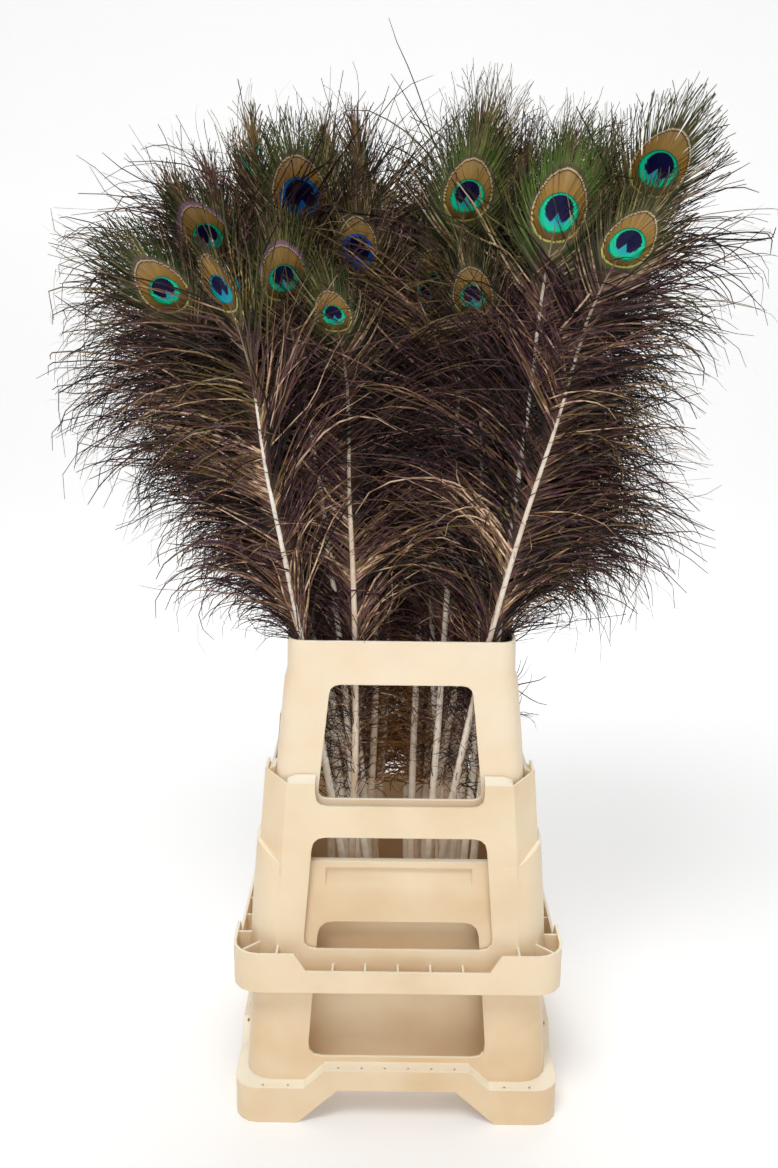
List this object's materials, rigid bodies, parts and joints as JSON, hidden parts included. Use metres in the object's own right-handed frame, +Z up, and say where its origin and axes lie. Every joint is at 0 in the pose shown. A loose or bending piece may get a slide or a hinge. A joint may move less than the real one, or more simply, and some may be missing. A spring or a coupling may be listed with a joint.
{
  "type": "peacock feathers in a flower-trade holder",
  "caption": "Peacock tail feathers in two bunches, standing loose in a floor bucket with two stacked open-sided collars.",
  "frame": {"origin": "on the floor, under the middle of the whole object's box", "axes": "+Z up, +Y from the front face to the back, +X to the right of the front face"},
  "size_m": [0.6552, 0.301, 1.0634],
  "materials": {
    "cream_plastic": "satin moulded polypropylene, slightly translucent",
    "feather": "fine dark barbs with an iridescent eye"
  },
  "bodies": {
    "root": {"bucket": "cream_plastic", "lower_collar": "cream_plastic", "upper_collar": "cream_plastic", "feather_left_01": "feather", "feather_left_02": "feather", "feather_left_03": "feather", "feather_left_04": "feather", "feather_left_05": "feather", "feather_left_06": "feather", "feather_left_07": "feather", "feather_left_08": "feather", "feather_left_09": "feather", "feather_left_10": "feather", "feather_left_11": "feather", "feather_left_12": "feather", "feather_left_13": "feather", "feather_left_14": "feather", "feather_left_15": "feather", "feather_left_16": "feather", "feather_left_17": "feather", "feather_left_18": "feather", "feather_left_19": "feather", "feather_left_20": "feather", "feather_left_21": "feather", "feather_left_22": "feather", "feather_left_23": "feather", "feather_left_24": "feather", "feather_right_01": "feather", "feather_right_02": "feather", "feather_right_03": "feather", "feather_right_04": "feather", "feather_right_05": "feather", "feather_right_06": "feather", "feather_right_07": "feather", "feather_right_08": "feather", "feather_right_09": "feather", "feather_right_10": "feather", "feather_right_11": "feather", "feather_right_12": "feather", "feather_right_13": "feather", "feather_right_14": "feather", "feather_right_15": "feather", "feather_right_16": "feather", "feather_right_17": "feather", "feather_right_18": "feather", "feather_right_19": "feather", "feather_right_20": "feather", "feather_right_21": "feather", "feather_right_22": "feather", "feather_right_23": "feather", "feather_right_24": "feather"}
  },
  "joints": []
}
